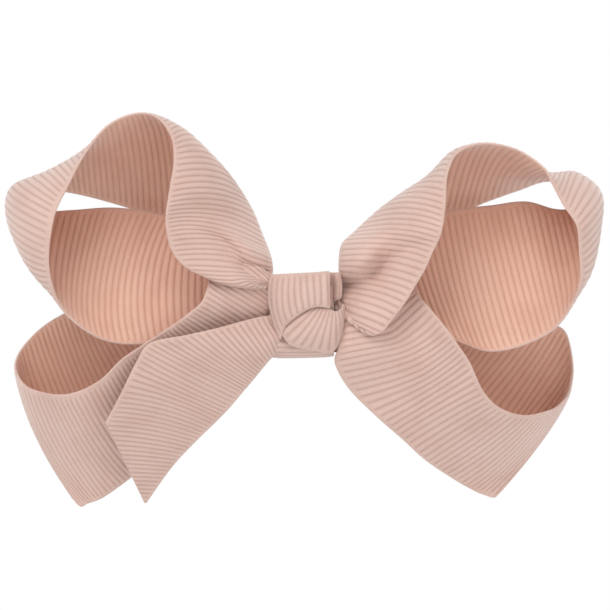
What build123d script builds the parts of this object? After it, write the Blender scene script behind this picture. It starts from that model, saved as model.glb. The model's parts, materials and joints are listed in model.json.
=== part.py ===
"""Hair bow of 25 mm grosgrain ribbon on a sprung alligator clip.

Millimetres. X runs along the bow, +Z is up as the bow is worn, and +Y points at the head.
The origin is in the clip's jaws, where the hair is gripped.
"""

import os

from build123d import *

# ---- driving dimensions ----------------------------------------------------------------
ribbon_thickness = 0.6  # grosgrain with its ribs
waist_y = -6.9  # centre of the gathered waist, in front of the jaws

waist_half_length = 5.6
waist_depth, waist_height = 7.4, 13.6
waist_pinch = 1.2  # how much thinner the waist is under the thread
waist_corner = 2.4

thread_width = 0.3
thread_pitch = 0.36
thread_turns = 5
thread_clearance = 0.1

wrap_width = 10.0  # 3/8 inch ribbon
wrap_thickness = 0.5
wrap_clearance = 0.3
strand_thickness = 1.1  # a folded strand of the knot
strand_gap = 0.3

clip_length = 46.0
sheet = 0.6  # clip steel
plate_width = 8.0
plate_tip_radius = 3.0
lining_width = 10.0
lining_thickness = 0.4
lining_inner_end = 5.0  # x where the lining stops inside the jaws
lining_outer_end = 21.5
jaw_gap = 0.1  # between the lining and the closed prong
prong_tip_width = 4.6
prong_handle_width = 6.5
prong_rise = ((2.0, 0.0), (8.0, 4.15), (14.0, 4.9), (23.0, 7.4))  # (x, height over the jaw)
notch_count = 7
notch_pitch = 2.2
notch_size = 0.7
hinge_x, hinge_y = 11.0, 2.4
pin_radius = 0.8
pin_clearance = 0.05
pin_head_radius = 1.3
pin_head_height = 0.5
ear_radius = 2.1
ear_gap = 0.15  # between an ear of the plate and an ear of the prong
spring_wire = 0.6
spring_coil_radius = 1.3  # to the middle of the wire
spring_pitch = 0.7
spring_whole_turns = 4  # the coil stops short of this, where its upper leg leaves
spring_leg_reach = 8.5
spring_leg_slope = 14.0  # degrees, along the inside of the prong's handle

# Heights through the clip, from the hair outwards: the lining folds round the plate.
plate_back = -jaw_gap / 2 - lining_thickness
plate_front = plate_back - sheet
lining_front = plate_front - lining_thickness

# ---- the ribbon bands ------------------------------------------------------------------
# Each station is one rib of the ribbon: its front selvedge, its middle and its back
# selvedge, as (x, depth behind the waist's centre, z). Stations run from the knot round
# the loop and back to the knot.

UPPER_LEFT = [
    ((-6.6, -5, 5), (-6.4, -3.5, 5.5), (-6.2, -2, 6.5)),
    ((-18.5, -10, 6.5), (-11, -8.5, 8), (-6.4, -1, 9)),
    ((-24, -13, 14), (-15.5, -8, 15), (-8, 4, 15.5)),
    ((-23, -12.5, 23), (-16.5, -4.5, 23), (-12, 7.5, 20)),
    ((-25.5, -9.5, 33.5), (-23.5, 1, 30), (-22.5, 11, 17)),
    ((-33, -9, 32), (-32.5, 1, 27.5), (-32, 11, 18.5)),
    ((-40.5, -12, 21.5), (-44, -1.5, 25), (-43, 11, 21)),
    ((-44, -12.5, 11), (-50, -2, 15.5), (-50, 9, 19)),
    ((-41, -8, 1), (-42, -1, 7), (-40, 6, 17)),
    ((-30.5, -4.5, -6), (-31.5, 0, 5), (-28.5, 5, 17)),
    ((-18.5, -2.5, -3.5), (-19, 1, 5.5), (-18, 4.5, 13.5)),
    ((-6.2, -1, 3), (-6.2, 0.6, 4.5), (-6.2, 2, 6)),
]
UPPER_RIGHT = [
    ((7, -5.5, 0.5), (6.8, -5, 3), (6.6, -2, 7)),
    ((16, -10, 0.5), (11.5, -9, 2.5), (6.6, -3.5, 4.5)),
    ((20.5, -12, 7), (13.5, -9.5, 8.5), (6.8, -0.5, 9)),
    ((24, -13, 16), (17, -6.5, 17.5), (11.5, 5.5, 16.5)),
    ((26, -10.5, 27.5), (23.5, 0, 26.5), (22.5, 10, 18)),
    ((35.5, -9, 28), (33, 2, 25), (31.5, 11, 19)),
    ((42, -11.5, 22.5), (43, -1, 24), (42, 11, 22.5)),
    ((46, -13, 15), (50, -3, 20.5), (49, 10.5, 21.5)),
    ((47, -11, 5.5), (49, -2.5, 9.5), (46.5, 7.5, 18.5)),
    ((44, -7.5, -2), (41, -0.5, 6.5), (38.5, 5, 19)),
    ((31, -4, -6.5), (28, 0, 3.5), (25.5, 4.5, 17.5)),
    ((17, -1.5, -1.5), (15.5, 1.2, 4), (13.5, 3.5, 10.5)),
    ((7, -1.2, 2), (6.8, 0.4, 3.5), (6.6, 2, 6)),
]
LOWER_LEFT = [
    ((-6.4, -3.6, 3.6), (-6.4, -3.8, 2), (-6.4, -3.8, 0.5)),
    ((-15.5, -6.5, 4.5), (-11.5, -6.5, 2), (-7, -3.4, -1)),
    ((-19.5, -8.5, -1), (-14.5, -4.5, -5), (-11, 0, -7.5)),
    ((-28, -9, -7), (-22, -2, -12.5), (-18, 5.5, -17)),
    ((-35, -6.5, -12.5), (-30, 1, -20), (-26.5, 9, -25)),
    ((-44.5, -1, -13.5), (-40, 5, -23), (-35, 10.5, -31.5)),
    ((-49.5, 6, -10.5), (-45, 10.5, -22), (-38.5, 11.5, -33)),
    ((-46, 9.5, -4), (-42.5, 12, -15), (-37.5, 12, -26)),
    ((-35, 8, 2), (-30.5, 8, -6), (-25, 9.2, -15)),
    ((-24, 3.6, 4.2), (-22, 3.2, 0), (-17.5, 4, -8)),
    ((-11, 3.4, 3.5), (-10, 3.6, 1), (-9, 3.6, -1.5)),
    ((-6.2, 2.6, 2.2), (-6.2, 3, 1), (-6.2, 2.6, -0.5)),
]
LOWER_RIGHT = [
    ((7, -4.4, -1.5), (6.6, -4.6, -3.5), (6.2, -4, -6.5)),
    ((19, -7, 3.5), (13.5, -6, -2), (6.4, -4, -7.5)),
    ((23.5, -9.5, -2.5), (17, -5, -7.5), (7.5, -1.5, -11.5)),
    ((28, -9.5, -8), (21.5, -3, -12.5), (12.5, 2.5, -17.5)),
    ((33, -6, -16), (27, 0.5, -20), (20.5, 7, -24.5)),
    ((41, -0.5, -17), (34.5, 6.5, -24), (28, 10.5, -29.5)),
    ((45, 4.5, -15), (40, 11, -22), (33, 12, -31.5)),
    ((46, 8.5, -9.5), (41.5, 12, -16), (33, 12.5, -25)),
    ((41, 9.5, -1), (35.5, 11.5, -9), (28, 11.5, -17.5)),
    ((26, 4.6, 2.5), (23.5, 4, -1), (19, 4.4, -9)),
    ((16, 3.8, 2.8), (14, 3.6, -0.5), (11, 3.8, -4.5)),
    ((6.4, 2.6, 2), (6.4, 3, 1), (6.4, 2.6, -0.5)),
]
TAIL = [
    ((-6.4, -5.6, -0.7), (-6.4, -5.4, -3.5), (-6.4, -4.5, -7)),
    ((-19.5, -11.5, -4), (-14, -8, -7), (-8, -3, -10)),
    ((-26, -12, -5), (-18.5, -8, -8.5), (-10, -2, -13)),
    ((-30.5, -11, -13), (-23, -5, -14.5), (-14, 1.5, -17.5)),
    ((-33.5, -8, -18), (-26, -2.5, -19), (-17, 4, -20.5)),
    ((-37.5, -6, -24), (-29.5, 0, -24.5), (-21, 6.5, -24.5)),
    ((-43.5, -3, -31.5), (-35.5, 3, -32), (-27.5, 8.5, -32.5)),
]
# The tail's cut end, from its long point to its short one.
TAIL_CUT = ((-27.6, -32.3), (-33.4, -18.0))


def travel_direction(stations, i):
    """Which way the ribbon runs through station i, from the middles of its neighbours."""
    before = Vector(*stations[max(i - 1, 0)][1])
    after = Vector(*stations[min(i + 1, len(stations) - 1)][1])
    return (after - before).normalized()


def ribbon_section(stations, i):
    """The ribbon's cut face at station i: a thin strip, bent at its middle."""
    front, middle, back = (Vector(x, waist_y + depth, z) for x, depth, z in stations[i])
    across = (back - front).normalized()
    along = travel_direction(stations, i)
    along = (along - across * along.dot(across)).normalized()
    plane = Plane(origin=front, x_dir=across, z_dir=along)
    half = ribbon_thickness / 2
    width = (back - front).length
    bend = plane.to_local_coords(middle)
    outline = [(0, half), (bend.X, bend.Y + half), (width, half)]
    outline += [(width, -half), (bend.X, bend.Y - half), (0, -half)]
    with BuildSketch(plane) as section:
        with BuildLine():
            Polyline(*outline, close=True)
        make_face()
    return section.sketch


def ribbon(stations):
    """Loft one band of ribbon through its stations, into the part being built."""
    loft([ribbon_section(stations, i) for i in range(len(stations))], ruled=True)


def finish_node(part, name):
    """Label one piece and write it to its own file."""
    part.label = name
    export_step(part, f"parts/{name}.step")


os.makedirs("parts", exist_ok=True)

# ---- ribbon loops ----------------------------------------------------------------------
with BuildPart() as upper_left_loop:
    ribbon(UPPER_LEFT)
finish_node(upper_left_loop.part, "upper_left_loop")

with BuildPart() as upper_right_loop:
    ribbon(UPPER_RIGHT)
finish_node(upper_right_loop.part, "upper_right_loop")

with BuildPart() as lower_left_loop:
    ribbon(LOWER_LEFT)
finish_node(lower_left_loop.part, "lower_left_loop")

with BuildPart() as lower_right_loop:
    ribbon(LOWER_RIGHT)
finish_node(lower_right_loop.part, "lower_right_loop")

# ---- tail, cut on the slant ------------------------------------------------------------
with BuildPart() as left_tail:
    ribbon(TAIL)
    long_point, short_point = (Vector(x, 0, z) for x, z in TAIL_CUT)
    cut_plane = Plane(origin=long_point, x_dir=short_point - long_point, z_dir=(1, 0, 0.405))
    split(bisect_by=cut_plane, keep=Keep.TOP)
finish_node(left_tail.part, "left_tail")

# ---- gathered waist, thread and wrap ---------------------------------------------------
waist_stations = ((-waist_half_length, 0), (0, waist_pinch), (waist_half_length, 0))
with BuildPart() as gathered_waist:
    for x, pinch in waist_stations:
        with BuildSketch(Plane.YZ.offset(x)):
            with Locations((waist_y, 0)):
                RectangleRounded(waist_depth - pinch, waist_height - pinch, waist_corner)
    loft()
finish_node(gathered_waist.part, "gathered_waist")


def band_round_waist(clearance, thickness, width, x, pinch):
    """A closed band round the waist, added to the part being built."""
    depth = waist_depth - pinch + 2 * clearance
    height = waist_height - pinch + 2 * clearance
    with BuildSketch(Plane.YZ.offset(x)) as ring:
        with Locations((waist_y, 0)):
            outer_corner = waist_corner + clearance + thickness
            RectangleRounded(depth + 2 * thickness, height + 2 * thickness, outer_corner)
            RectangleRounded(depth, height, waist_corner + clearance, mode=Mode.SUBTRACT)
    extrude(ring.sketch, amount=width / 2, both=True)


with BuildPart() as gathering_thread:
    for turn in range(thread_turns):
        x = (turn - (thread_turns - 1) / 2) * thread_pitch
        band_round_waist(thread_clearance, thread_width, thread_width, x, waist_pinch)
finish_node(gathering_thread.part, "gathering_thread")

with BuildPart() as knot_wrap:
    band_round_waist(wrap_clearance, wrap_thickness, wrap_width, 0, 0)
finish_node(knot_wrap.part, "knot_wrap")

wrap_front = waist_y - waist_depth / 2 - wrap_clearance - wrap_thickness
wrap_back = waist_y + waist_depth / 2 + wrap_clearance + wrap_thickness

# ---- the overhand knot's two strands, seen from the front as (x, z) ---------------------
LOWER_STRAND = [(-3.7, -3.4), (0, -0.9), (4.6, 0.4), (6.5, 1), (6.7, -0.5), (6.4, -3.1)]
LOWER_STRAND += [(4.8, -6.8), (0.9, -6.5), (-3, -6)]
UPPER_STRAND = [(-5.5, 6.9), (5.5, 7.6), (5.7, 4.6), (4.2, 0.6), (0, -0.5), (-2.5, -1.7)]
UPPER_STRAND += [(-4, -4.4), (-5.4, -1.7), (-5.9, 2.9)]
front_view = Plane(origin=(0, 0, 0), x_dir=(1, 0, 0), z_dir=(0, -1, 0))


def knot_strand(outline, front_gap):
    """A flat folded strand that stands front_gap in front of the wrap."""
    with BuildSketch(front_view.offset(-wrap_front + front_gap)) as strand:
        with BuildLine():
            Polyline(*outline, close=True)
        make_face()
    extrude(strand.sketch, amount=strand_thickness)


with BuildPart() as knot_lower_strand:
    knot_strand(LOWER_STRAND, strand_gap)
finish_node(knot_lower_strand.part, "knot_lower_strand")

with BuildPart() as knot_upper_strand:
    knot_strand(UPPER_STRAND, 2 * strand_gap + strand_thickness)
finish_node(knot_upper_strand.part, "knot_upper_strand")

# ---- glue between the wrap and the clip's lining ----------------------------------------
with BuildPart() as glue_pad:
    with BuildSketch(Plane.XZ.offset(-wrap_back)):
        SlotOverall(14, 5.6)
    extrude(amount=-(lining_front - wrap_back))
finish_node(glue_pad.part, "glue_pad")

# ---- clip: plate with its two ears ------------------------------------------------------
plate_end = clip_length / 2


def ear_profile(foot_y):
    """One hinge ear, from foot_y to a round end at the pin, with the pin's hole."""
    foot_height = abs(hinge_y - foot_y)
    with Locations((hinge_x, (hinge_y + foot_y) / 2)):
        Rectangle(2 * ear_radius, foot_height)
    with Locations((hinge_x, hinge_y)):
        Circle(ear_radius)
        Circle(pin_radius + pin_clearance, mode=Mode.SUBTRACT)


with BuildPart() as clip_plate:
    with BuildSketch(Plane.XZ.offset(-plate_front)):
        Rectangle(clip_length, plate_width)
    extrude(amount=-sheet)
    fillet(clip_plate.edges().filter_by(Axis.Y), plate_tip_radius)
    for side in (-1, 1):
        with BuildSketch(Plane.XY.offset(side * (plate_width - sheet) / 2)):
            ear_profile(plate_back)
        extrude(amount=sheet / 2, both=True)
finish_node(clip_plate.part, "clip_plate")

# ---- clip: ribbon lining folded round the plate's tip -----------------------------------
with BuildPart() as clip_lining:
    with BuildSketch():
        with BuildLine():
            tip_inner = -plate_end - 0.1
            tip_outer = tip_inner - lining_thickness
            Polyline(
                (lining_outer_end, plate_front),
                (tip_inner, plate_front),
                (tip_inner, plate_back),
                (lining_inner_end, plate_back),
                (lining_inner_end, plate_back + lining_thickness),
                (tip_outer, plate_back + lining_thickness),
                (tip_outer, lining_front),
                (lining_outer_end, lining_front),
                close=True,
            )
        make_face()
    extrude(amount=lining_width / 2, both=True)
finish_node(clip_lining.part, "clip_lining")

# ---- clip: sprung prong ----------------------------------------------------------------
jaw_y = jaw_gap / 2 + sheet / 2
prong_line = [(-plate_end + 0.6, jaw_y)] + [(x, jaw_y + height) for x, height in prong_rise]
prong_ear_z = plate_width / 2 - sheet - ear_gap - sheet / 2

with BuildPart() as clip_prong:
    with BuildSketch():
        with BuildLine() as prong_path:
            FilletPolyline(*prong_line, radius=2.0)
        trace(prong_path.line, line_width=sheet)
    extrude(amount=prong_handle_width / 2, both=True)
    with BuildSketch(Plane.XZ):
        with BuildLine():
            Polyline(
                (-plate_end + 0.6, -prong_tip_width / 2),
                (4, -prong_tip_width / 2),
                (7, -prong_handle_width / 2),
                (plate_end, -prong_handle_width / 2),
                (plate_end, prong_handle_width / 2),
                (7, prong_handle_width / 2),
                (4, prong_tip_width / 2),
                (-plate_end + 0.6, prong_tip_width / 2),
                close=True,
            )
        make_face()
    extrude(amount=2 * plate_end, both=True, mode=Mode.INTERSECT)
    for i in range(notch_count):
        for side in (-1, 1):
            notch_x = -plate_end + 3.0 + i * notch_pitch
            with BuildSketch(Plane.XZ):
                with Locations((notch_x, side * prong_tip_width / 2)):
                    Rectangle(notch_size, notch_size, rotation=45)
            extrude(amount=2, both=True, mode=Mode.SUBTRACT)
    for side in (-1, 1):
        with BuildSketch(Plane.XY.offset(side * prong_ear_z)):
            ear_profile(jaw_y + prong_rise[1][1] + sheet / 4)
        extrude(amount=sheet / 2, both=True)
finish_node(clip_prong.part, "clip_prong")

# ---- clip: hinge pin with peened heads --------------------------------------------------
with BuildPart() as clip_pin:
    with Locations((hinge_x, hinge_y, 0)):
        Cylinder(pin_radius, plate_width)
    for side in (-1, 1):
        with Locations((hinge_x, hinge_y, side * (plate_width + pin_head_height) / 2)):
            Cylinder(pin_head_radius, pin_head_height)
finish_node(clip_pin.part, "clip_pin")

# ---- clip: torsion spring round the pin -------------------------------------------------
spring_turns = spring_whole_turns - (180 + spring_leg_slope) / 360
spring_height = spring_turns * spring_pitch
spring_plane = Plane(
    origin=(hinge_x, hinge_y, -spring_height / 2), x_dir=(0, -1, 0), z_dir=(0, 0, 1)
)
with BuildLine() as spring_path:
    coil = Helix(spring_pitch, spring_height, spring_coil_radius, lefthand=True)
    Line(coil @ 0 - (coil % 0) * spring_leg_reach, coil @ 0)
    Line(coil @ 1, coil @ 1 + (coil % 1) * spring_leg_reach)
spring_line = spring_plane.from_local_coords(spring_path.wires()[0])
with BuildPart() as clip_spring:
    with BuildSketch(Plane(origin=spring_line @ 0, z_dir=spring_line % 0)):
        Circle(spring_wire / 2)
    sweep(path=spring_line)
finish_node(clip_spring.part, "clip_spring")
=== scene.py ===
"""Hair bow of 25 mm grosgrain ribbon on an alligator clip, dressed over its CAD frame.

Shapes are laid out in millimetres as (x, depth behind the waist's centre, z) and turned into
metres in the CAD's frame by place(). A ribbon is a closed thin mesh whose ribs, selvedges and
folds are all real geometry.
"""

import json
import math

import bmesh
import bpy
import numpy as np
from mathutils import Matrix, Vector


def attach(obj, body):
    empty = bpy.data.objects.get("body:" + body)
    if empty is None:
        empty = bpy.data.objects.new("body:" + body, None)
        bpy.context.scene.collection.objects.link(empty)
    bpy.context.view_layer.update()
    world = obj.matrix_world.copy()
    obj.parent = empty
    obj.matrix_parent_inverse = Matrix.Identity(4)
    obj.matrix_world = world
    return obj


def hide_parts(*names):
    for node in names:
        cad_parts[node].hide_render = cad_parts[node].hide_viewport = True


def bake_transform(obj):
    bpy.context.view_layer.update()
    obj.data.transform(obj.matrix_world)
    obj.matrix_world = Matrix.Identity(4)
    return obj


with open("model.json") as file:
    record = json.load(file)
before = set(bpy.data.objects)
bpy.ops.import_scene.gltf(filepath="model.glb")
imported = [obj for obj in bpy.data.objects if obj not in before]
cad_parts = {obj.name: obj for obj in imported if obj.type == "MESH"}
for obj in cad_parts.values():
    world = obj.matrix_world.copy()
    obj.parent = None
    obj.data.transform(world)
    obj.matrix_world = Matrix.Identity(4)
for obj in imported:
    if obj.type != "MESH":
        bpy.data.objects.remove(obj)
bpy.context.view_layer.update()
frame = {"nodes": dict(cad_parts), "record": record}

MM = 0.001
WAIST_Y = -6.9  # the waist's centre, in front of the clip's jaws

RIBBON_WIDTH = 25.0
KNOT_RIBBON_WIDTH = 10.0
RIB_PITCH = 1.05
ROWS_PER_RIB = 8
SELVEDGE = 0.9
KNOT_SELVEDGE = 0.8
COLUMNS_BETWEEN_SELVEDGES = 16
WIRE_SIDES = 14
VIEW_WIDTH = 0.1037  # what the camera takes in, at VIEW_DISTANCE
VIEW_DISTANCE = 0.612

# ---- camera ----------------------------------------------------------------------------
camera = bpy.data.objects.new("camera", bpy.data.cameras.new("camera"))
bpy.context.scene.collection.objects.link(camera)
camera.location = (0.0001, -0.62, 0.0019)
camera.rotation_euler = (math.radians(90), 0, 0)
camera.data.sensor_width = 36
camera.data.lens = camera.data.sensor_width * VIEW_DISTANCE / VIEW_WIDTH
camera.data.clip_start = 0.05
camera.data.clip_end = 20
bpy.context.scene.camera = camera
bpy.context.scene.view_settings.view_transform = "Standard"


# ---- ribbon surfaces -------------------------------------------------------------------
def smooth_rows(points, knots, at):
    """Rows of points on a smooth curve through the stations, whose knots are uneven."""
    slopes = np.empty_like(points)
    slopes[0] = (points[1] - points[0]) / (knots[1] - knots[0])
    slopes[-1] = (points[-1] - points[-2]) / (knots[-1] - knots[-2])
    for i in range(1, len(points) - 1):
        before, after = knots[i] - knots[i - 1], knots[i + 1] - knots[i]
        slope_in = (points[i] - points[i - 1]) / before
        slope_out = (points[i + 1] - points[i]) / after
        slopes[i] = (slope_in * after + slope_out * before) / (before + after)
    k = np.clip(np.searchsorted(knots, at, side="right") - 1, 0, len(points) - 2)
    step = (knots[k + 1] - knots[k])[:, None, None]
    u = (at - knots[k])[:, None, None] / step
    return (
        (2 * u**3 - 3 * u**2 + 1) * points[k]
        + (u**3 - 2 * u**2 + u) * step * slopes[k]
        + (3 * u**2 - 2 * u**3) * points[k + 1]
        + (u**3 - u**2) * step * slopes[k + 1]
    )


def columns(width):
    """Where the columns lie across a ribbon, from 0 to 1, closer together at the selvedges."""
    edge = np.array([0, 0.12, 0.35, 0.65, 0.95, 1.2]) / width
    inner = np.linspace(edge[-1], 1 - edge[-1], COLUMNS_BETWEEN_SELVEDGES)
    return np.concatenate([edge[:-1], inner, 1 - edge[-2::-1]])


def five_points(station):
    """A station of three points is a plain bow; one of five already says how its rib bends."""
    points = np.array(station, float)
    if len(points) == 5:
        return points
    t = np.linspace(0, 1, 5)[:, None]
    front, middle, back = 2 * (t - 0.5) * (t - 1), -4 * t * (t - 1), 2 * t * (t - 0.5)
    return points[0] * front + points[1] * middle + points[2] * back


def bend_across(rails, t):
    """Each rib is a smooth curve through its five points; t is the place across, 0 to 1."""
    slopes = np.empty_like(rails)
    slopes[:, 1:-1] = (rails[:, 2:] - rails[:, :-2]) * 2
    slopes[:, 0] = (rails[:, 1] - rails[:, 0]) * 8 - slopes[:, 1]
    slopes[:, -1] = (rails[:, -1] - rails[:, -2]) * 8 - slopes[:, -2]
    k = np.clip((t * 4).astype(int), 0, 3)
    u = (t * 4 - k)[..., None]
    row = np.arange(len(rails))[:, None]
    return (
        (2 * u**3 - 3 * u**2 + 1) * rails[row, k]
        + (u**3 - 2 * u**2 + u) * 0.25 * slopes[row, k]
        + (3 * u**2 - 2 * u**3) * rails[row, k + 1]
        + (u**3 - u**2) * 0.25 * slopes[row, k + 1]
    )


def ribbon_grid(stations, width, pitch=(RIB_PITCH, RIB_PITCH), cut=None):
    """The ribbon's middle surface in mm: points, rib phase along and distance across.

    pitch is the rib spacing in mm at the first end and at the last; the phase along is the
    rib count times RIB_PITCH. cut is a line in the front view; the right of it is kept."""
    points = np.array([five_points(station) for station in stations])
    spans = np.linalg.norm(np.diff(points, axis=0), axis=2).mean(axis=1)
    knots = np.concatenate([[0], np.cumsum(spans)])
    total = knots[-1]
    ribs = int(round(total * 2 / (pitch[0] + pitch[1])))
    share = np.linspace(0, 1, ribs * ROWS_PER_RIB + 1)
    drift = pitch[1] / pitch[0]
    place_along = share if abs(drift - 1) < 1e-6 else (drift**share - 1) / (drift - 1)
    rails = smooth_rows(points, knots, place_along * total)
    along = share * ribs * RIB_PITCH
    t = np.tile(columns(width), (len(share), 1))
    if cut:
        start, end = (np.array(p) for p in cut)
        normal = np.array([end[1] - start[1], start[0] - end[0]])
        fine = np.linspace(0, 1, 201)
        grid = bend_across(rails, np.tile(fine, (len(share), 1)))
        kept = (grid[..., [0, 2]] - start) @ normal > 0
        first = fine[np.argmax(kept, axis=1)]
        ends = kept.any(axis=1) & (first < 0.985)
        t = first[:, None] + (1 - first[:, None]) * t
        rails, t, along = rails[ends], t[ends], along[ends]
    return bend_across(rails, t), along, t * width


def across_line(a, b, points):
    """Distance of each point, in the front view, from the segment a to b, and how far along."""
    a, b = np.array(a, float), np.array(b, float)
    flat = points[..., [0, 2]] - a
    share = np.clip(flat @ (b - a) / ((b - a) @ (b - a)), 0, 1)
    return np.linalg.norm(flat - share[..., None] * (b - a), axis=-1), share


def crease(grid, along, line, depth, width, reach):
    """Presses a valley along a polyline in the front view, fading towards its far end.

    reach is the stretch of the ribbon that it may touch, as (first mm, last mm)."""
    first, last = reach
    gate = np.clip((along - first) / 3 + 1, 0, 1) * np.clip((last - along) / 3 + 1, 0, 1)
    best = np.full(grid.shape[:2], 1e9)
    fade = np.zeros(grid.shape[:2])
    total = len(line) - 1
    for i in range(total):
        distance, share = across_line(line[i], line[i + 1], grid)
        nearer = distance < best
        best[nearer] = distance[nearer]
        fade[nearer] = 1 - (i + share[nearer]) / total
    push = depth * np.exp(-((best / width) ** 2)) * (0.15 + 0.85 * fade) * gate[:, None]
    grid[..., 1] += push


def unit(vectors):
    return vectors / np.maximum(np.linalg.norm(vectors, axis=-1, keepdims=True), 1e-9)


def surface_normals(grid):
    along = np.gradient(grid, axis=0)
    across = np.gradient(grid, axis=1)
    return unit(np.cross(along, across))


def gather(grid, along, t, amount, reach, folds, phase=0.0, ends=(True, True)):
    """Small pleats that run out of the knot and fade with distance from it."""
    normals = surface_normals(grid)
    strength = np.zeros(len(along))
    if ends[0]:
        strength += np.exp(-(((along - along[0]) / reach) ** 2))
    if ends[1]:
        strength += np.exp(-(((along[-1] - along) / reach) ** 2))
    wave = np.cos(2 * math.pi * folds * t + phase)
    grid += normals * (amount * strength[:, None] * wave)[..., None]


def place(points):
    """Layout millimetres to metres in the CAD's frame."""
    moved = np.array(points, float)
    moved[..., 1] += WAIST_Y
    return moved * MM


def add_mesh(name, points, faces, attributes=(), body="bow", slot=None, material=None):
    mesh = bpy.data.meshes.new(name)
    mesh.from_pydata(points.tolist(), [], faces)
    for label, values in attributes:
        layer = mesh.attributes.new(label, "FLOAT_VECTOR", "POINT")
        layer.data.foreach_set("vector", np.asarray(values, np.float32).ravel())
    mesh.polygons.foreach_set("use_smooth", [True] * len(mesh.polygons))
    mesh.update()
    piece = bpy.data.objects.new(name, mesh)
    bpy.context.scene.collection.objects.link(piece)
    if material:
        mesh.materials.append(material)
    if body:
        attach(piece, body)
    return piece


def woven(
    name,
    surface,
    material,
    slot="bow_ribbon",
    thickness=0.34,
    ridge=0.17,
    width=RIBBON_WIDTH,
    bare_edge=SELVEDGE,
    inner_face=None,
):
    """A ribbon's middle surface made into a closed cloth with ribs on both faces.

    A loop's inner face ("top" or "bottom") carries its edge distance below zero, for painted bounce
    light and shade."""
    grid, along, across = surface
    rows, cols = grid.shape[:2]
    edge = np.minimum(across, width - across)
    rib = np.abs(np.sin(math.pi * along / RIB_PITCH)) ** 0.62
    flank = np.clip((edge - 0.75 * bare_edge) / (0.45 * bare_edge), 0, 1)
    flank = flank * flank * (3 - 2 * flank)
    loops = 0.45 + 0.55 * flank  # the weft's small loops carry on through the selvedge
    taper = np.clip(edge / 0.25, 0, 1) ** 0.5
    number = along / RIB_PITCH
    uneven = 1 + 0.12 * np.sin(number * 1.7 + 3 * np.sin(number * 0.31)) * np.cos(number * 0.77)
    half = thickness / 2 + ridge * (rib * uneven)[:, None] * loops
    half = 0.09 + (half - 0.09) * taper
    normals = surface_normals(grid)
    top = place(grid + normals * half[..., None])
    bottom = place(grid - normals * half[..., None])
    points = np.concatenate([top.reshape(-1, 3), bottom.reshape(-1, 3)])
    index = np.arange(rows * cols).reshape(rows, cols)
    lower = index + rows * cols
    quads = [
        np.stack([index[:-1, :-1], index[1:, :-1], index[1:, 1:], index[:-1, 1:]], -1),
        np.stack([lower[:-1, :-1], lower[:-1, 1:], lower[1:, 1:], lower[1:, :-1]], -1),
    ]
    faces = [q.reshape(-1, 4) for q in quads]
    faces.append(np.stack([index[:-1, 0], lower[:-1, 0], lower[1:, 0], index[1:, 0]], -1))
    faces.append(np.stack([index[:-1, -1], index[1:, -1], lower[1:, -1], lower[:-1, -1]], -1))
    faces.append(np.stack([index[0, :-1], index[0, 1:], lower[0, 1:], lower[0, :-1]], -1))
    faces.append(np.stack([index[-1, :-1], lower[-1, :-1], lower[-1, 1:], index[-1, 1:]], -1))
    weave = np.stack([across, np.broadcast_to(along[:, None], across.shape), edge], -1)
    both = np.concatenate([weave.reshape(-1, 3), weave.reshape(-1, 3)])
    if inner_face:
        inner = slice(0, rows * cols) if inner_face == "top" else slice(rows * cols, None)
        both[inner, 2] *= -1
    return add_mesh(
        name,
        points,
        np.concatenate(faces).tolist(),
        attributes=[("weave", both)],
        slot=slot,
        material=material,
    )


# ---- materials -------------------------------------------------------------------------
class Nodes:
    """A short way to wire a material's nodes."""

    def __init__(self, name):
        self.material = bpy.data.materials.new(name)
        self.material.use_nodes = True
        self.tree = self.material.node_tree
        self.shader = self.tree.nodes["Principled BSDF"]

    def add(self, kind, **inputs):
        node = self.tree.nodes.new("ShaderNode" + kind)
        for key, value in inputs.items():
            if hasattr(node, key):
                setattr(node, key, value)
        return node

    def feed(self, socket, value):
        if isinstance(value, bpy.types.NodeSocket):
            self.tree.links.new(value, socket)
        elif value is not None:
            socket.default_value = value

    def math(self, operation, a, b=None, c=None):
        node = self.add("Math", operation=operation)
        for socket, value in zip(node.inputs, (a, b, c)):
            self.feed(socket, value)
        return node.outputs[0]

    def noise(self, vector, scale, detail=2.0, roughness=0.5):
        node = self.add("TexNoise")
        self.feed(node.inputs["Vector"], vector)
        node.inputs["Scale"].default_value = scale
        node.inputs["Detail"].default_value = detail
        node.inputs["Roughness"].default_value = roughness
        return node.outputs["Fac"]

    def scaled(self, vector, factors):
        node = self.add("Mapping")
        self.feed(node.inputs["Vector"], vector)
        node.inputs["Scale"].default_value = factors
        return node.outputs["Vector"]

    def remap(self, value, low, high, to_low=0.0, to_high=1.0):
        node = self.add("MapRange")
        node.interpolation_type = "SMOOTHSTEP"
        for socket, v in zip(node.inputs, (value, low, high, to_low, to_high)):
            self.feed(socket, v)
        return node.outputs[0]

    def mix(self, factor, a, b):
        node = self.add("Mix")
        node.data_type = "RGBA"
        self.feed(node.inputs["Factor"], factor)
        self.feed(node.inputs[6], a)
        self.feed(node.inputs[7], b)
        return node.outputs[2]

    def bump(self, height, strength, distance):
        node = self.add("Bump")
        node.inputs["Strength"].default_value = strength
        node.inputs["Distance"].default_value = distance
        self.feed(node.inputs["Height"], height)
        return node.outputs["Normal"]


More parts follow.
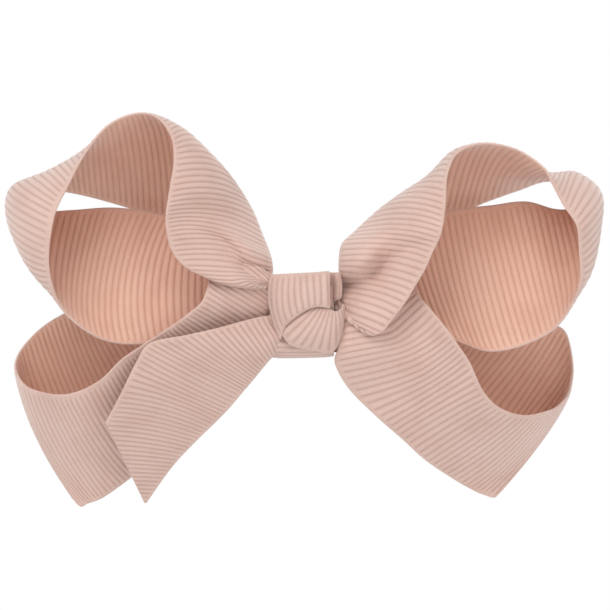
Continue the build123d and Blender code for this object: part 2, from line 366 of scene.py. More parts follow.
def grosgrain(name, outer, inner, pitch, bare_edge):
    """Ribbed ribbon: pale rounded ribs, valleys darkened by painted shade and crossed by warp
    threads, flat selvedge.

    outer and inner are (rib colour, valley colour) for a loop's two faces; inner paints bounce
    light and shade."""
    n = Nodes(name)
    weave = n.add("Attribute", attribute_name="weave").outputs["Vector"]
    parts = n.add("SeparateXYZ")
    n.feed(parts.inputs[0], weave)
    across, along, signed_edge = parts.outputs
    edge = n.math("ABSOLUTE", signed_edge)
    # Painted bounce light and shade: a loop's inner face takes the warmer, deeper inner colours.
    inside_loop_bounce = n.remap(signed_edge, 0.0, -0.6)
    phase = n.math("MULTIPLY", along, math.pi / pitch)
    rib = n.math("POWER", n.math("ABSOLUTE", n.math("SINE", phase)), 0.75)
    inside = n.remap(edge, 0.7 * bare_edge, 1.15 * bare_edge)
    warp = n.math("SINE", n.math("MULTIPLY", across, 2 * math.pi / 0.26))
    warp = n.math("MULTIPLY_ADD", warp, 0.5, 0.5)
    stitches = n.math("SINE", n.math("MULTIPLY", along, 4 * math.pi / pitch))
    stitches = n.math("MULTIPLY", n.math("MULTIPLY_ADD", stitches, 0.5, 0.5), warp)
    stitches = n.math("MULTIPLY", stitches, n.math("SUBTRACT", 1.0, inside))
    wavy = n.noise(n.scaled(weave, (0.11, 0.16, 0.0)), 1.0, 3.0)
    fibres = n.noise(n.scaled(weave, (2.2, 14.0, 1.0)), 1.0, 3.0, 0.65)
    specks = n.noise(n.scaled(weave, (7.0, 7.0, 1.0)), 1.0, 2.0, 0.7)
    # Colour: painted shade darkens the valleys (depth is its mask, with the selvedge stitches
    # added), selvedges as pale as the ribs, fibres vary a little.
    depth = n.math("MULTIPLY", n.math("SUBTRACT", 1.0, rib), inside)
    depth = n.math("MULTIPLY", depth, n.math("MULTIPLY_ADD", warp, -0.25, 1.0))
    depth = n.math("ADD", depth, n.math("MULTIPLY", stitches, 0.5))
    ridge_colour = n.mix(inside_loop_bounce, outer[0], inner[0])
    valley_shade_colour = n.mix(inside_loop_bounce, outer[1], inner[1])
    base = n.mix(depth, ridge_colour, valley_shade_colour)
    base = n.mix(n.remap(fibres, 0.35, 0.7, 0.0, 0.22), base, (0.86, 0.72, 0.66, 1.0))
    base = n.mix(n.remap(wavy, 0.4, 0.75, 0.0, 0.30), base, valley_shade_colour)
    base = n.mix(n.remap(specks, 0.62, 0.8, 0.0, 0.25), base, (0.88, 0.76, 0.70, 1.0))
    n.feed(n.shader.inputs["Base Color"], base)
    n.feed(n.shader.inputs["Roughness"], n.remap(fibres, 0.2, 0.8, 0.50, 0.72))
    n.shader.inputs["Specular IOR Level"].default_value = 0.4
    n.shader.inputs["Sheen Weight"].default_value = 0.8
    n.shader.inputs["Sheen Roughness"].default_value = 0.4
    n.shader.inputs["Sheen Tint"].default_value = (1.0, 0.95, 0.93, 1.0)
    # Bump: warp threads show in the valleys, stitches in the selvedge, fibres everywhere.
    threads = n.math("MULTIPLY", warp, n.math("SUBTRACT", 1.15, n.math("MULTIPLY", rib, inside)))
    height = n.math("MULTIPLY_ADD", fibres, 0.9, n.math("MULTIPLY", threads, 0.55))
    height = n.math("SUBTRACT", height, stitches)
    n.feed(n.shader.inputs["Normal"], n.bump(height, 0.6, 0.00007))
    return n.material


def brushed_steel(name, colour, along_x=True):
    """Stamped clip steel: fine brushing along its length, faint scratches and dull patches."""
    n = Nodes(name)
    where = n.add("TexCoord").outputs["Object"]
    grain = n.noise(n.scaled(where, (60, 900, 2600) if along_x else (900, 900, 60)), 1.0, 4.0, 0.6)
    patches = n.noise(where, 260, 3.0)
    scratches = n.noise(n.scaled(where, (700, 2500, 180)), 1.0, 2.0, 0.4)
    dark = tuple(c * 0.72 for c in colour[:3]) + (1.0,)
    base = n.mix(n.remap(grain, 0.3, 0.75, 0.0, 0.5), colour, dark)
    base = n.mix(n.remap(scratches, 0.66, 0.72, 0.0, 0.4), base, (0.9, 0.9, 0.9, 1.0))
    n.feed(n.shader.inputs["Base Color"], base)
    n.shader.inputs["Metallic"].default_value = 1.0
    rough = n.math("ADD", n.remap(grain, 0.2, 0.8, 0.20, 0.36), n.remap(patches, 0.4, 0.7, 0, 0.14))
    n.feed(n.shader.inputs["Roughness"], rough)
    n.feed(n.shader.inputs["Normal"], n.bump(grain, 0.25, 0.00002))
    return n.material


def hot_melt(name):
    """Milky hot-melt glue with soft ripples and a few tiny bubbles."""
    n = Nodes(name)
    where = n.add("TexCoord").outputs["Object"]
    ripples = n.noise(where, 500, 3.0)
    bubbles = n.noise(where, 2600, 1.0)
    base = n.mix(n.remap(ripples, 0.35, 0.7), (0.78, 0.74, 0.66, 1), (0.88, 0.85, 0.79, 1))
    base = n.mix(n.remap(bubbles, 0.68, 0.78, 0, 0.5), base, (0.95, 0.94, 0.92, 1))
    n.feed(n.shader.inputs["Base Color"], base)
    n.feed(n.shader.inputs["Roughness"], n.remap(ripples, 0.3, 0.7, 0.18, 0.34))
    n.shader.inputs["Coat Weight"].default_value = 0.3
    n.feed(n.shader.inputs["Normal"], n.bump(ripples, 0.5, 0.0002))
    return n.material


def twisted_thread(name, colour):
    """Sewing thread with its twist."""
    n = Nodes(name)
    where = n.add("TexCoord").outputs["Object"]
    wave = n.add("TexWave", wave_type="BANDS", bands_direction="DIAGONAL")
    n.feed(wave.inputs["Vector"], where)
    wave.inputs["Scale"].default_value = 2600
    wave.inputs["Distortion"].default_value = 1.2
    dark = tuple(c * 0.7 for c in colour[:3]) + (1.0,)
    n.feed(n.shader.inputs["Base Color"], n.mix(wave.outputs["Fac"], dark, colour))
    n.feed(n.shader.inputs["Roughness"], n.remap(wave.outputs["Fac"], 0, 1, 0.7, 0.5))
    n.shader.inputs["Sheen Weight"].default_value = 0.4
    n.feed(n.shader.inputs["Normal"], n.bump(wave.outputs["Fac"], 0.6, 0.00005))
    return n.material


# (rib, valley) colours. The inner faces of the loops are one cloth with the outer ones, and
# are tinted warmer and deeper to stand for light passing through and bouncing in the loop.
# The valley colours are painted shade for the hollows between the ribs.
OUTER_PINK = ((0.66, 0.455, 0.385, 1.0), (0.50, 0.285, 0.225, 1.0))
INNER_BOUNCE_PINK = ((0.76, 0.45, 0.335, 1.0), (0.56, 0.28, 0.185, 1.0))
# The knot's cloth is painted a little darker than the loops' cloth, as painted shade on the knot.
KNOT_SHADED_PINK = ((0.62, 0.43, 0.365, 1.0), (0.44, 0.25, 0.195, 1.0))
bow_cloth = grosgrain("bow_grosgrain", OUTER_PINK, INNER_BOUNCE_PINK, RIB_PITCH, SELVEDGE)
knot_cloth = grosgrain("knot_grosgrain", KNOT_SHADED_PINK, INNER_BOUNCE_PINK, RIB_PITCH, KNOT_SELVEDGE)
steel = brushed_steel("clip_steel", (0.62, 0.62, 0.63, 1.0))
spring_steel = brushed_steel("spring_steel", (0.52, 0.52, 0.54, 1.0), along_x=False)
glue = hot_melt("hot_melt_glue")
thread = twisted_thread("gathering_thread", (0.62, 0.40, 0.34, 1.0))

# ---- the bow's loops -------------------------------------------------------------------
# Each station is one rib, as three or five points from the front selvedge to the back one.
UPPER_LEFT = [
    ((-4.2, -2.6, 4.2), (-4.2, -2.2, 4.6), (-4.2, -1.2, 5.2)),
    (
        (-17.2, -10.4, 6.8), (-13.6, -9.2, 6.4), (-11.0, -8.2, 6.4),
        (-8.3, -5.8, 6.2), (-5.8, -3.6, 5.8),
    ),
    ((-19.9, -11.2, 8.2), (-16, -9.4, 8.1), (-12.1, -7.6, 7.8), (-9, -5.3, 7.3), (-5.6, -3.2, 6.5)),
    (
        (-21.2, -11.8, 9.5), (-16.7, -9.4, 9.7), (-12.2, -7, 9.2),
        (-9.2, -4.5, 8.1), (-5.4, -2.8, 7.3),
    ),
    (
        (-22.2, -12.3, 11.1), (-17.5, -9.6, 11.5), (-12.6, -6.2, 11),
        (-9.4, -6.8, 9.7), (-5.4, -2, 8.2),
    ),
    (
        (-22.7, -12.8, 12.8), (-18.3, -9.8, 13.3), (-13.7, -6.2, 12.9),
        (-10.1, -7, 11.6), (-5.6, -0.7, 9.6),
    ),
    ((-23, -13, 14.5), (-19.3, -10, 15), (-15.2, -7, 14.5), (-11.2, -5.2, 13.2), (-6, 1.2, 11)),
    (
        (-23.1, -13, 16.6), (-19.8, -9.8, 17.1), (-15.7, -6.2, 16.9),
        (-11.4, -1.8, 15.8), (-7, 3.5, 13.4),
    ),
    ((-22.7, -13, 20), (-15.4, -6, 20.8), (-9.2, 7, 18.6)),
    ((-21.8, -12, 26), (-15.1, -3, 26), (-12.2, 8.5, 21.6)),
    ((-22.4, -11, 30.3), (-18.9, -1, 29.7), (-17, 10, 18.5)),
    ((-25, -9.5, 33.5), (-23.2, 1, 29.8), (-22.2, 11, 16.6)),
    ((-28.5, -9, 34), (-27.5, 2, 28), (-27, 11, 17.6)),
    ((-33, -9, 32), (-32.5, 1, 27.5), (-32, 11, 19.2)),
    ((-36.4, -10, 27.8), (-37.3, 0.5, 27), (-37, 11, 20.6)),
    ((-39.7, -12, 21.3), (-43.7, -1.5, 24.5), (-43, 11, 21.8)),
    ((-41.7, -13, 16.6), (-49.4, -2, 21), (-48.5, 10.5, 22.3)),
    ((-42.6, -12.5, 11), (-49.8, -2, 15.3), (-50, 9, 19.4)),
    ((-42.3, -10.5, 5.7), (-46.6, -2, 9), (-45.5, 7.5, 18)),
    ((-40.6, -8, 1.1), (-41.6, -1, 7.4), (-40, 6, 18.2)),
    ((-34.5, -5.5, -3.8), (-35.5, -0.5, 5.4), (-32.5, 5, 18.6)),
    ((-27, -4, -4.8), (-28, 0, 6.2), (-24.5, 4.8, 17.4)),
    ((-18.5, -2.5, -2.6), (-19, 1, 6.2), (-18, 4.6, 14.6)),
    ((-11, -1.5, 0.8), (-11.5, 1.4, 5.2), (-11.5, 3.6, 9.4)),
    ((-6, -1, 3), (-6, 0.8, 4.5), (-6, 2, 6)),
    ((-4.2, -0.8, 3), (-4.2, 0.6, 4), (-4.2, 1.6, 5)),
]
UPPER_RIGHT = [
    ((5.4, -3.4, 0.6), (4.8, -3.2, 3), (4.2, -1.5, 5)),
    ((13, -9, -2.7), (11.5, -8.2, -2.2), (9.9, -7, -1.4), (8.2, -5.6, -0.6), (6.6, -4, 0.2)),
    ((14.5, -9.5, -0.9), (12.5, -8.5, 0.1), (10.2, -7.2, 0.9), (8.1, -5.6, 1.6), (6.4, -3.6, 2.1)),
    ((16.6, -10.4, 1.9), (14.3, -8.8, 3), (11.5, -6.4, 3.9), (8.6, -4.1, 4.4), (6.2, -3, 4.3)),
    ((18.7, -11.4, 5.4), (15.8, -9, 6.5), (12.2, -5.8, 7.2), (8.9, -7.4, 7.5), (5.9, -3, 7.6)),
    ((20.2, -12.3, 8), (17.1, -9.4, 9), (13.4, -6.4, 9.7), (9.6, -8.2, 9.7), (5.9, -2.2, 9.5)),
    ((21.3, -12.8, 10.6), (18.1, -9.6, 11.7), (14.4, -7, 12.2), (10.4, -6.4, 12.2), (6.3, 0.2, 12)),
    ((22.7, -13, 13.5), (16.4, -8, 15), (8.6, 3.6, 14.4)),
    ((23.5, -13, 18.5), (17.5, -5, 19.8), (13.4, 7, 18.5)),
    ((23.9, -12, 24), (20.9, -2.5, 23.6), (18, 9, 20.5)),
    ((25.8, -10.5, 27.5), (24.1, 0, 26.1), (22.5, 10, 18.3)),
    ((30.5, -9, 29), (29, 2, 26), (27, 11, 18)),
    ((35.5, -9, 28), (33, 2, 25), (31.5, 11, 19.8)),
    ((40, -10, 25), (37.5, 1, 24), (37, 11, 21.8)),
    ((41.4, -11.5, 22.3), (43, -1, 24.2), (42, 11, 23.4)),
    ((43.2, -12.5, 18.6), (46, -2, 24), (46.5, 11, 23)),
    ((45.4, -13, 15), (50, -3, 20.5), (49, 10.5, 21.5)),
    ((45.9, -12.5, 10.4), (50.1, -3, 15.4), (49.5, 9, 19.5)),
    ((46.1, -11, 5.7), (48.6, -2.5, 9.5), (46.5, 7.5, 18.5)),
    ((44.7, -9, 1.6), (45, -1, 7), (43, 6, 18.4)),
    ((42.5, -7.5, -1.7), (41, -0.5, 6.8), (38.5, 5, 19.6)),
    ((37.5, -5.5, -4.7), (35, 0, 5), (32, 5, 19.0)),
    ((31, -4, -6), (28, 0.2, 4.4), (25.5, 4.6, 18.2)),
    ((25.5, -2.5, -4.2), (22, 0.8, 5), (19.5, 4.2, 16.4)),
    ((17, -1.5, -1.5), (15.5, 1.4, 4), (13.5, 3.6, 10.5)),
    ((7, -1, 2), (6.5, 0.6, 3.5), (6.5, 2, 6)),
    ((4.2, -0.8, 2), (4.2, 0.6, 3.4), (4.2, 1.6, 5)),
]
LOWER_LEFT = [
    ((-4.2, -2.4, 5.4), (-4.2, -3, 3.8), (-3.6, -2.6, 2.2)),
    ((-9.6, -4.6, 9), (-6.6, -4.4, 6.8), (-4.6, -3.2, 4)),
    ((-13.4, -6, 8.4), (-9.2, -5.4, 5.9), (-5.4, -3.8, 2.8)),
    ((-16, -7.4, 6.6), (-11.1, -6.4, 3.8), (-6.2, -3.6, 0.7)),
    ((-16.3, -8.6, 4.9), (-11.9, -6.6, 2), (-7.1, -3, -1.1)),
    ((-17.2, -9.4, 2.5), (-13.2, -6.4, 0.1), (-8.4, -2, -3.1)),
    ((-19.4, -9.8, 0.5), (-14.4, -5.3, -2.7), (-10.1, -0.2, -6.2)),
    ((-23.8, -9.8, -2.6), (-18, -3.8, -8.8), (-14, 3.3, -12.7)),
    ((-27.6, -9.8, -5.1), (-21.5, -2.7, -12.5), (-18.4, 5.8, -17.5)),
    ((-30.8, -9.2, -7.3), (-25.5, -1, -16), (-22.5, 8, -21.4)),
    ((-34.6, -7.2, -10.9), (-30, 0.5, -19.6), (-26.6, 9.5, -25.2)),
    ((-39.6, -4.5, -13.1), (-35, 2.5, -22.2), (-30.5, 10, -28.3)),
    ((-44.3, -1, -13), (-40.2, 5, -22.9), (-35, 10.5, -31.5)),
    ((-48, 2.5, -11.6), (-44.3, 8.5, -22.6), (-37.5, 11, -32.5)),
    ((-49.6, 6, -9.4), (-46.2, 10.5, -21), (-38.9, 11.5, -33)),
    ((-49.2, 8.5, -6.2), (-46.4, 12, -16.5), (-40.6, 12, -28.5)),
    ((-46.6, 9.5, -3), (-42.8, 12, -14.3), (-37.5, 12, -26)),
    ((-41, 9.5, 0.7), (-37.5, 11, -9.4), (-32.5, 11, -20)),
    ((-35, 8, 2), (-30.5, 8, -6), (-25, 9.2, -15)),
    ((-28.5, 5.6, 3.4), (-25.5, 5, -2.8), (-21.5, 6.3, -11.5)),
    ((-23.5, 3.8, 4.2), (-21.5, 3.3, 0.2), (-17.5, 4.1, -8)),
    ((-12, 3.4, 5), (-10.5, 3.5, 1), (-9.5, 3.5, -4)),
    ((-6, 2.5, 4.4), (-6, 2.7, 0.8), (-6, 2.5, -3.2)),
    ((-4.2, 1.8, 4), (-4.2, 2, 0.8), (-4.2, 1.8, -2.8)),
]
LOWER_RIGHT = [
    ((4.2, -3, 0), (4.2, -3.2, -2.2), (4.2, -3, -4.6)),
    ((18.9, -6.2, 4.7), (15.9, -5.6, 3.2), (13.4, -5.4, 1.7), (10.1, -5.2, 0.4), (6.6, -4, -0.3)),
    ((19.4, -7, 3.4), (16.7, -5.8, 0.9), (13.9, -5.8, -1.4), (10.2, -6, -2.1), (6.3, -4.6, -2.8)),
    ((20.8, -8, 1.7), (18, -6.2, -0.9), (14.9, -6, -3.3), (10.6, -6.2, -4.1), (5.8, -4.6, -5.1)),
    (
        (22.4, -9, -0.3), (19.9, -6.6, -2.8), (16.4, -5.8, -4.9),
        (11.1, -5.4, -6.1), (5.1, -3.6, -7.3),
    ),
    ((24.2, -9.7, -2.6), (21.5, -6.8, -4.9), (17.8, -5, -6.9), (12.4, -3.8, -8.5), (6, -1.6, -9.9)),
    ((25.5, -10, -4.5), (23, -7, -6.7), (19.3, -4.2, -9.1), (14, -2, -11), (7.8, 0.6, -12.6)),
    ((27.6, -9.7, -7.6), (21.5, -3, -12.2), (12.5, 2.5, -17.3)),
    ((30, -8, -12.5), (23.6, -1.5, -16.3), (16.6, 5, -20.9)),
    ((32.8, -6, -15.4), (27, 0.5, -19.8), (20.5, 7, -24.5)),
    ((36.8, -3.5, -16.8), (30.5, 3, -22.3), (24, 9, -27)),
    ((41, -0.5, -16.3), (34.7, 6.5, -23.8), (28, 10.5, -29.5)),
    ((43.6, 2.5, -15.2), (38.8, 9.5, -22.8), (31, 11.5, -31)),
    ((45.2, 4.5, -13.6), (41.1, 11, -21.4), (33, 12, -31.5)),
    ((46, 7, -11), (42.5, 12, -18.4), (33, 12.5, -29.5)),
    ((46.3, 8.5, -8.2), (41.9, 12, -15.4), (33, 12.5, -25)),
    ((45.3, 9.5, -3), (40, 12, -12), (33, 12, -22)),
    ((41, 9.5, -1), (35.5, 11.2, -9), (28, 11, -17.5)),
    ((34, 7.4, 1), (29, 7.6, -5), (23, 8.2, -13.5)),
    ((26, 4.6, 2.5), (23.5, 4, -1), (19, 4.6, -9)),
    ((16, 3.8, 4.2), (14, 3.6, 0), (11, 3.8, -5.5)),
    ((7, 2.6, 4.4), (6.5, 3, 0.8), (6, 2.6, -3.4)),
    ((4.2, 1.8, 4), (4.2, 2, 0.8), (4.2, 1.8, -3)),
]
TAIL = [
    ((-5, -3.8, 0), (-3.6, -3.5, -2.4), (-2.4, -3, -5)),
    ((-7.2, -5.8, -0.1), (-5.4, -5.3, -3.1), (-4.2, -3.6, -5.9)),
    ((-10, -7.8, -0.7), (-7.6, -6.4, -4.3), (-5.7, -3.9, -7.2)),
    ((-14, -9.8, -1.8), (-10.6, -7.4, -5.6), (-7.2, -3.4, -8.9)),
    ((-19.5, -11.7, -3.1), (-14.5, -8.2, -6.9), (-8.8, -3.1, -10.9)),
    ((-26, -12, -4.6), (-18.7, -8, -8.6), (-10.6, -2, -13)),
    ((-28, -12, -7.6), (-21, -6.5, -11.3), (-12.6, 0, -15.4)),
    ((-30.5, -11, -12.6), (-23, -5, -14.4), (-15, 1.5, -17.9)),
    ((-33.5, -8, -18), (-26, -2.5, -19), (-18.4, 4, -21.2)),
    ((-37.5, -6, -24), (-29.5, 0, -24.5), (-22.4, 6.5, -25.4)),
    ((-43.5, -3, -31.5), (-35.5, 3, -32), (-27.5, 8.5, -32.5)),
]
TAIL_CUT = ((-27.6, -32.3), (-33.4, -18.0))  # the long point, then the short one


def folded_loop(name, stations, pitch, inner_face, creases=()):
    """One loop, with small pleats at both ends and the creases (line, depth, width, reach)."""
    surface = ribbon_grid(stations, RIBBON_WIDTH, pitch)
    grid, along, across = surface
    gather(grid, along, across / RIBBON_WIDTH, 0.25, 5.0, 2.0, len(name))
    for line, depth, width, reach in creases:
        crease(grid, along, line, depth, width, reach)
    piece = woven(name + "_ribbon", surface, bow_cloth, inner_face=inner_face)
    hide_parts(name + "_loop")


UPPER_LEFT_CREASE = ((-8.7, 8.1), (-9.9, 10.2), (-11.5, 12.4), (-13.5, 13.9), (-16, 14.7))
UPPER_RIGHT_CREASE = ((6, 4.9), (8.3, 6), (11.4, 7.5), (14.8, 9.8), (18, 11.4), (21, 12.6))
FRONT_RUN = (0, 45)  # the creases stay in this stretch, in mm

# The rib pitches, at each loop's first and last end, differ so that as many ribs show as on
# the real bow. Woven ribbon keeps one pitch.
upper_left_creases = [(UPPER_LEFT_CREASE, 1.2, 1.6, FRONT_RUN)]
upper_right_creases = [(UPPER_RIGHT_CREASE, 2.4, 1.2, FRONT_RUN)]
folded_loop("upper_left", UPPER_LEFT, (0.93, 1.18), "top", upper_left_creases)
folded_loop("upper_right", UPPER_RIGHT, (1.14, 1.1), "bottom", upper_right_creases)
folded_loop("lower_left", LOWER_LEFT, (0.9, 1.05), "bottom")
folded_loop("lower_right", LOWER_RIGHT, (1.18, 1.05), "top")

tail_surface = ribbon_grid(TAIL, RIBBON_WIDTH, (0.92, 0.92), cut=TAIL_CUT)
tail_grid, tail_along, tail_across = tail_surface
gather(tail_grid, tail_along, tail_across / RIBBON_WIDTH, 0.25, 6.0, 1.5, 0.5, (True, False))
tail = woven("tail_ribbon", tail_surface, bow_cloth)
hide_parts("left_tail")


# ---- the gathered waist: two pleated stretches of ribbon --------------------------------
def pleated_waist(name, centre_depth, phase):
    """One layer of the waist: three pleats deep across, pinched in by the thread."""
    half, height, pleat_depth, pleats = 6.3, 12.2, 1.45, 3
    along = np.linspace(0, 2 * half, 12 * ROWS_PER_RIB + 1)
    t = np.linspace(0, 1, 97)
    pinch = 1 - 0.15 * np.exp(-(((along - half) / 2.2) ** 2))[:, None]
    wave = np.cos(2 * math.pi * pleats * t + phase)
    wave = wave * np.minimum(1, 6 * np.minimum(t, 1 - t) + 0.45)
    grid = np.empty((len(along), len(t), 3))
    grid[..., 0] = (along - half)[:, None]
    grid[..., 1] = centre_depth + pleat_depth * wave * pinch
    grid[..., 2] = height * (t - 0.5) * pinch
    across = np.tile(t * RIBBON_WIDTH, (len(along), 1))
    piece = woven(name, (grid, along, across), bow_cloth, thickness=0.3, ridge=0.08)
    return piece


waist = pleated_waist("waist_front_pleats", -1.8, 0.0)
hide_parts("gathered_waist")
pleated_waist("waist_back_pleats", 1.8, math.pi)

# ---- the knot ribbon -------------------------------------------------------------------
# The wrap's cross-section as (depth, z), from its first end at the back over the front to
# its glued-down overlap. Its left selvedge flares out at the bottom front.
WRAP = [
    ((4.3, -2.5), 0),
    ((4.3, 3.0), 0),
    ((3.9, 5.9), 0),
    ((2.2, 6.5), 0),
    ((-2.2, 6.4), 0),
    ((-3.9, 5.6), 0),
    ((-4.3, 3.0), 0),
    ((-4.4, -3.0), 0.2),
    ((-4.3, -5.3), 0.5),
    ((-2.6, -6.5), 0.6),
    ((2.2, -6.5), 0.2),
    ((3.9, -5.8), 0),
    ((4.5, -3.2), 0),
    ((4.8, 1.0), 0),
]
wrap_stations = [
    ((-5.0 - flare, depth, z), (-flare / 2, depth - 0.1, z), (5.0, depth, z + flare * 0.5))
    for (depth, z), flare in WRAP
]
# The knot's upper strand runs left to right, then rolls back at its right end.
UPPER_STRAND = [
    ((-5.3, -3.0, 6.6), (-5.5, -3.0, 2.6), (-4.6, -3.2, -3.2)),
    ((-5.5, -4.8, 7.0), (-5.8, -5.2, 2.2), (-4.0, -5.4, -3.9)),
    ((-4.0, -6.2, 7.1), (-4.3, -7.3, 2.2), (-3.2, -6.7, -1.8)),
    ((-1.9, -6.6, 7.2), (-2.0, -8.0, 3.0), (-1.3, -7.5, 0.0)),
    ((0.1, -6.7, 7.3), (0.3, -8.1, 3.8), (0.7, -7.7, 1.2)),
    ((2.1, -6.7, 7.4), (2.3, -7.9, 4.3), (2.3, -7.6, 1.6)),
    ((4.0, -6.5, 7.6), (4.0, -7.4, 4.5), (4.2, -7.2, 1.4)),
    ((4.0, -5.6, 7.5), (3.6, -5.6, 4.5), (3.6, -5.8, 1.8)),
    ((4.6, -4.6, 7.4), (4.5, -4.0, 4.6), (4.4, -4.2, 2.0)),
    ((5.6, -5.2, 7.4), (5.9, -5.5, 5.2), (5.7, -5.1, 2.8)),
    ((5.8, -3.2, 7.1), (6.2, -3.2, 4.8), (6.0, -3.2, 2.8)),
]
# The lower strand fans round a pivot at the right, under the upper one.
LOWER_STRAND = [
    ((3.4, -5.0, 6.6), (-0.6, -5.3, 6.0), (-4.9, -4.9, 5.2)),
    ((3.4, -5.5, 4.6), (-0.8, -5.9, 3.6), (-4.8, -5.1, 2.2)),
    ((2.8, -6.2, 2.8), (-1.0, -6.8, 0.8), (-4.4, -5.4, -1.2)),
    ((2.5, -6.6, 2.1), (-0.7, -7.3, -0.9), (-3.6, -5.8, -3.4)),
    ((2.9, -6.7, 1.9), (0.4, -7.6, -1.7), (-2.4, -5.9, -4.8)),
    ((3.8, -6.8, 1.6), (2.1, -7.7, -2.3), (0.2, -5.8, -5.5)),
    ((4.4, -6.8, 1.2), (3.5, -7.6, -2.6), (2.6, -5.6, -5.9)),
    ((4.9, -6.7, 0.9), (4.7, -7.3, -2.7), (4.5, -5.2, -6.1)),
    ((5.6, -6.4, 0.9), (5.9, -6.5, -1.7), (5.8, -4.5, -4.4)),
    ((6.2, -5.8, 1.5), (6.4, -5.6, -0.2), (6.3, -4.1, -2.6)),
    ((6.4, -5.0, 2.1), (6.7, -4.8, 0.8), (6.7, -3.7, -0.9)),
    ((6.3, -3.6, 1.8), (6.5, -3.4, 0.7), (6.5, -3.0, -0.7)),
]


def knot_ribbon(name, stations, node, ridge):
    """A stretch of the knot's narrower and thinner ribbon."""
    surface = ribbon_grid(stations, KNOT_RIBBON_WIDTH)
    piece = woven(
        name,
        surface,
        knot_cloth,
        slot="knot_ribbon",
        width=KNOT_RIBBON_WIDTH,
        bare_edge=KNOT_SELVEDGE,
        thickness=0.3,
        ridge=ridge,
    )
    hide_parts(node)


knot_ribbon("wrap_ribbon", wrap_stations, "knot_wrap", ridge=0.1)
knot_ribbon("upper_strand_ribbon", UPPER_STRAND, "knot_upper_strand", ridge=0.12)
knot_ribbon("lower_strand_ribbon", LOWER_STRAND, "knot_lower_strand", ridge=0.12)

# ---- the clip: lining ribbon, glue, spring ---------------------------------------------
# In world y: the lining runs along the plate's front, round its tip and back into the jaws.
LINING = [(21.5, -1.25), (10, -1.25), (-10, -1.25), (-21, -1.25), (-22.8, -1.15), (-23.35, -0.75)]
LINING += [(-22.8, -0.35), (-21, -0.27), (-10, -0.26), (5.0, -0.26)]
lining_stations = [
    ((x, y - WAIST_Y, 5.0), (x, y - WAIST_Y, 0.0), (x, y - WAIST_Y, -5.0)) for x, y in LINING
]
lining_surface = ribbon_grid(lining_stations, KNOT_RIBBON_WIDTH)
lining = woven(
    "lining_ribbon",
    lining_surface,
    knot_cloth,
    slot="knot_ribbon",
    width=KNOT_RIBBON_WIDTH,
    bare_edge=KNOT_SELVEDGE,
    thickness=0.22,
    ridge=0.06,
)
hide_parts("clip_lining")


def squeezed_glue():
    """A bead of hot melt squeezed out a little round the wrap's back."""
    around, up = 96, 24
    u = np.linspace(0, 2 * math.pi, around, endpoint=False)
    v = np.linspace(-math.pi / 2, math.pi / 2, up)
    cu = np.sign(np.cos(u)) * np.abs(np.cos(u)) ** 0.6
    su = np.sign(np.sin(u)) * np.abs(np.sin(u)) ** 0.8
    wobble = 1 + 0.035 * np.sin(3 * u + 0.7) + 0.025 * np.sin(7 * u + 2.0)
    grid = np.empty((up, around, 3))
    rim = np.abs(np.cos(v))[:, None] ** 0.45
    grid[..., 0] = 7.4 * cu * wobble * rim
    grid[..., 1] = -1.9 - WAIST_Y + 0.62 * np.sin(v)[:, None]
    grid[..., 2] = 3.3 * su * wobble * rim
    points = place(grid).reshape(-1, 3)
    faces = []
    for i in range(up - 1):
        for j in range(around):
            k = (j + 1) % around
            low, high = i * around, (i + 1) * around
            faces.append((low + j, low + k, high + k, high + j))
    piece = add_mesh("glue_bead", points, faces, slot="glue", material=glue)
    weld_and_orient(piece)
    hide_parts("glue_pad")


def weld_and_orient(piece):
    """Merges the pole points and makes the faces point outwards."""
    shape = bmesh.new()
    shape.from_mesh(piece.data)
    bmesh.ops.remove_doubles(shape, verts=shape.verts, dist=1e-7)
    bmesh.ops.recalc_face_normals(shape, faces=shape.faces)
    shape.to_mesh(piece.data)
    shape.free()


squeezed_glue()


def tube(name, path, radius, **extra):
    """A round wire along a path, with rounded-off ends, in metres."""
    sides = WIRE_SIDES
    path = np.array(path, float)
    tangents = unit(np.gradient(path, axis=0))
    side = unit(np.cross(tangents[0], (0.3, 0.2, 1.0)))
    rings = []
    angles = np.linspace(0, 2 * math.pi, sides, endpoint=False)
    scale = np.ones(len(path))
    scale[0] = scale[-1] = 0.55
    scale[1] = scale[-2] = 0.88
    for point, tangent, s in zip(path, tangents, scale):
        side = unit(side - tangent * (side @ tangent))
        up = np.cross(tangent, side)
        ring = np.cos(angles)[:, None] * side + np.sin(angles)[:, None] * up
        rings.append(point + ring * radius * s)
    points = np.concatenate(rings + [path[:1], path[-1:]])
    count = len(path)
    faces = []
    for i in range(count - 1):
        for j in range(sides):
            k = (j + 1) % sides
            this, following = i * sides, (i + 1) * sides
            faces.append((this + j, this + k, following + k, following + j))
    for j in range(sides):
        k = (j + 1) % sides
        faces.append((count * sides, k, j))
        last = (count - 1) * sides
        faces.append((count * sides + 1, last + j, last + k))
    piece = add_mesh(name, points, faces, **extra)
    weld_and_orient(piece)
    return piece


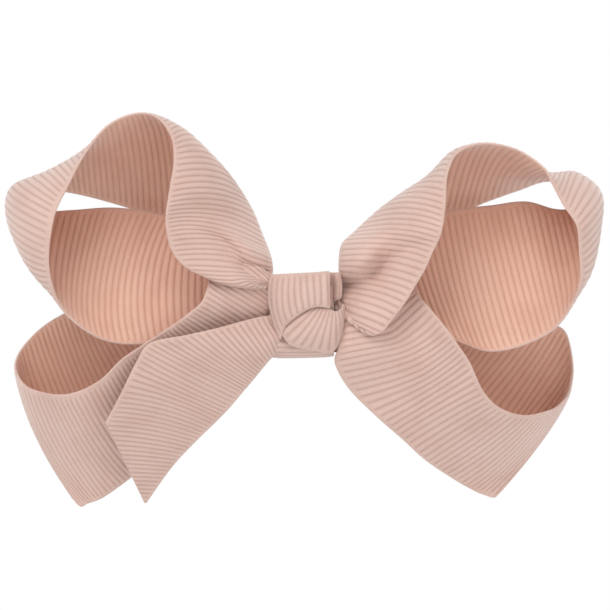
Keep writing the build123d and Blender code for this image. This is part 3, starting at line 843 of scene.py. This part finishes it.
hinge = frame["record"]["behaviour"]["joints"][0]["pos_m"]
COIL_RADIUS, COIL_PITCH, WIRE_RADIUS, LEG = 1.3, 0.7, 0.29, 8.5
WHOLE_TURNS, LEG_SLOPE = 4, 14  # the slope, in degrees, is along the prong's handle
turns = WHOLE_TURNS - (180 + LEG_SLOPE) / 360
angle = np.linspace(0, 2 * math.pi * turns, 160)
coil = np.stack(
    [
        hinge[0] / MM - COIL_RADIUS * np.sin(angle),
        hinge[1] / MM - COIL_RADIUS * np.cos(angle),
        COIL_PITCH * (angle / (2 * math.pi) - turns / 2),
    ],
    -1,
)
first_leg = coil[0] + np.linspace(LEG, 0.3, 24)[:, None] * np.array([1, 0, 0])
leaving = unit(coil[-1] - coil[-2])
second_leg = coil[-1] + np.linspace(0.3, LEG, 24)[:, None] * leaving
wire = np.concatenate([first_leg, coil, second_leg]) * MM
spring = tube(
    "spring_wire", wire, WIRE_RADIUS * MM, body=None, slot="spring_steel", material=spring_steel
)
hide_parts("clip_spring")
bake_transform(spring)


def finish_cad(node, material):
    mesh_object = frame["nodes"][node]
    if not mesh_object.material_slots:
        mesh_object.data.materials.append(material)
    for material_slot in mesh_object.material_slots:
        material_slot.material = material


for node in ("clip_plate", "clip_prong", "clip_pin"):
    finish_cad(node, steel)
finish_cad("gathering_thread", thread)

# ---- stage and light -------------------------------------------------------------------
FLOOR_RADIUS, FLOOR_Z, FLOOR_CORNERS = 1.2, -0.16, 96
floor_mesh = bpy.data.meshes.new("floor")
ring = [
    (FLOOR_RADIUS * math.cos(a), FLOOR_RADIUS * math.sin(a), FLOOR_Z)
    for a in np.linspace(0, 2 * math.pi, FLOOR_CORNERS, endpoint=False)
]
floor_mesh.from_pydata(ring, [], [list(range(FLOOR_CORNERS))])
floor = bpy.data.objects.new("floor", floor_mesh)
bpy.context.scene.collection.objects.link(floor)
floor_paint = Nodes("floor_paint")
floor_paint.shader.inputs["Base Color"].default_value = (0.93, 0.93, 0.93, 1)
floor_paint.shader.inputs["Roughness"].default_value = 0.9
floor_mesh.materials.append(floor_paint.material)

world = bpy.data.worlds.new("studio")
bpy.context.scene.world = world
world.use_nodes = True
sky = world.node_tree
direction = sky.nodes.new("ShaderNodeTexCoord").outputs["Generated"]
split = sky.nodes.new("ShaderNodeSeparateXYZ")
sky.links.new(direction, split.inputs[0])
backdrop = sky.nodes.new("ShaderNodeMapRange")  # white behind the bow, softer elsewhere
backdrop.interpolation_type = "SMOOTHSTEP"
for socket, value in zip(backdrop.inputs[1:], (0.55, 0.93, 0.78, 1.0)):
    socket.default_value = value
sky.links.new(split.outputs["Y"], backdrop.inputs["Value"])
sky.links.new(backdrop.outputs[0], sky.nodes["Background"].inputs["Strength"])
sky.nodes["Background"].inputs["Color"].default_value = (1, 1, 1, 1)


def soft_light(name, location, size, power):
    data = bpy.data.lights.new(name, "AREA")
    data.size = size
    data.energy = power
    lamp = bpy.data.objects.new(name, data)
    lamp.location = location
    lamp.rotation_euler = (-Vector(location)).to_track_quat("-Z", "Y").to_euler()
    bpy.context.scene.collection.objects.link(lamp)


soft_light("key", (-0.32, -0.7, 0.72), 0.6, 4.2)
soft_light("fill", (0.45, -0.85, 0.3), 0.5, 1.2)
